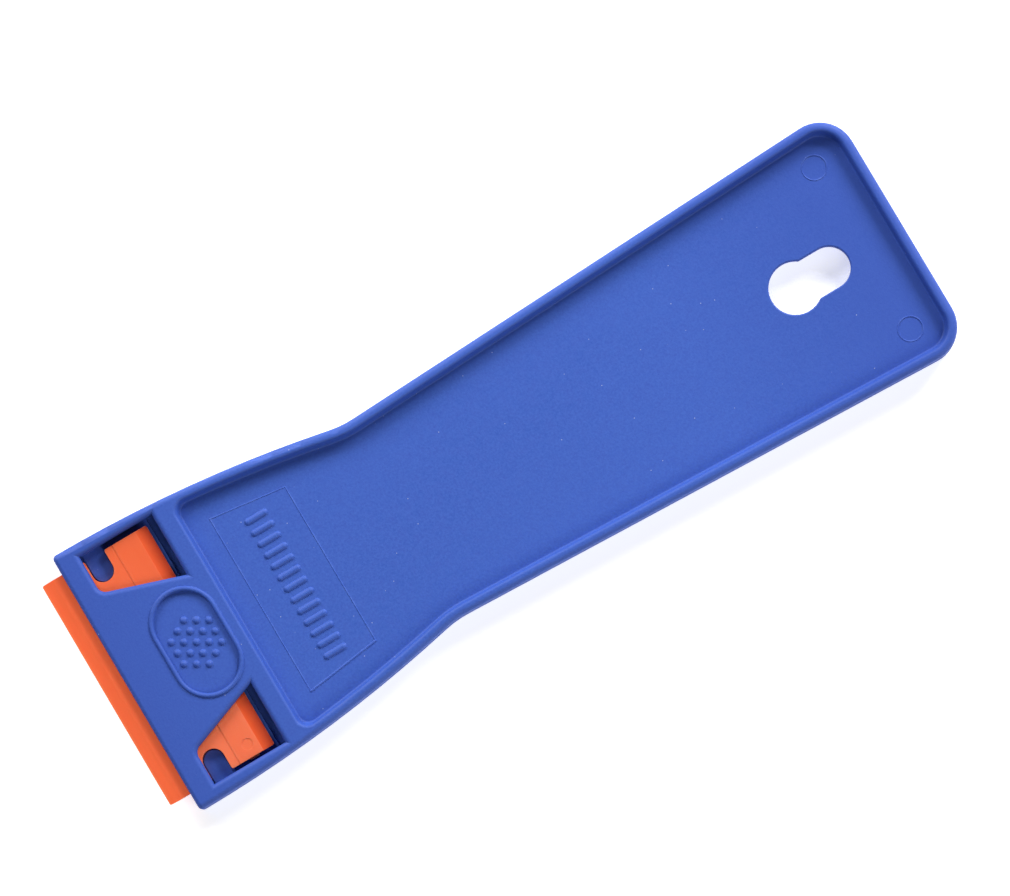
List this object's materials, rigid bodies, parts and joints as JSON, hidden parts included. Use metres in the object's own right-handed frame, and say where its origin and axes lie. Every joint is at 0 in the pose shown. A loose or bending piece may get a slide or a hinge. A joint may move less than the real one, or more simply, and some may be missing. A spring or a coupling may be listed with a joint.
{
  "type": "algae scraper",
  "caption": "Flat hand scraper with a moulded plastic handle, a hang hole, and a reversible plastic blade that slides out of a slot in the head.",
  "frame": {"origin": "middle of the whole scraper's footprint, on the plane that its back rests on", "axes": "+X from the blade to the tail, +Y across the handle, +Z out of the front face"},
  "size_m": [0.1386, 0.0442, 0.0057],
  "materials": {
    "handle_plastic": "fine matte moulded texture",
    "blade_plastic": "satin moulded"
  },
  "bodies": {
    "handle": {"handle": "handle_plastic", "blade_retaining_lugs": "handle_plastic"},
    "blade": {"blade": "blade_plastic"}
  },
  "joints": [
    {"name": "blade_slide", "type": "slide", "parent": "handle", "child": "blade", "axis": [-1, 0, 0], "range_m": [0, 0.018], "deforming": ["blade_retaining_lugs"]}
  ]
}
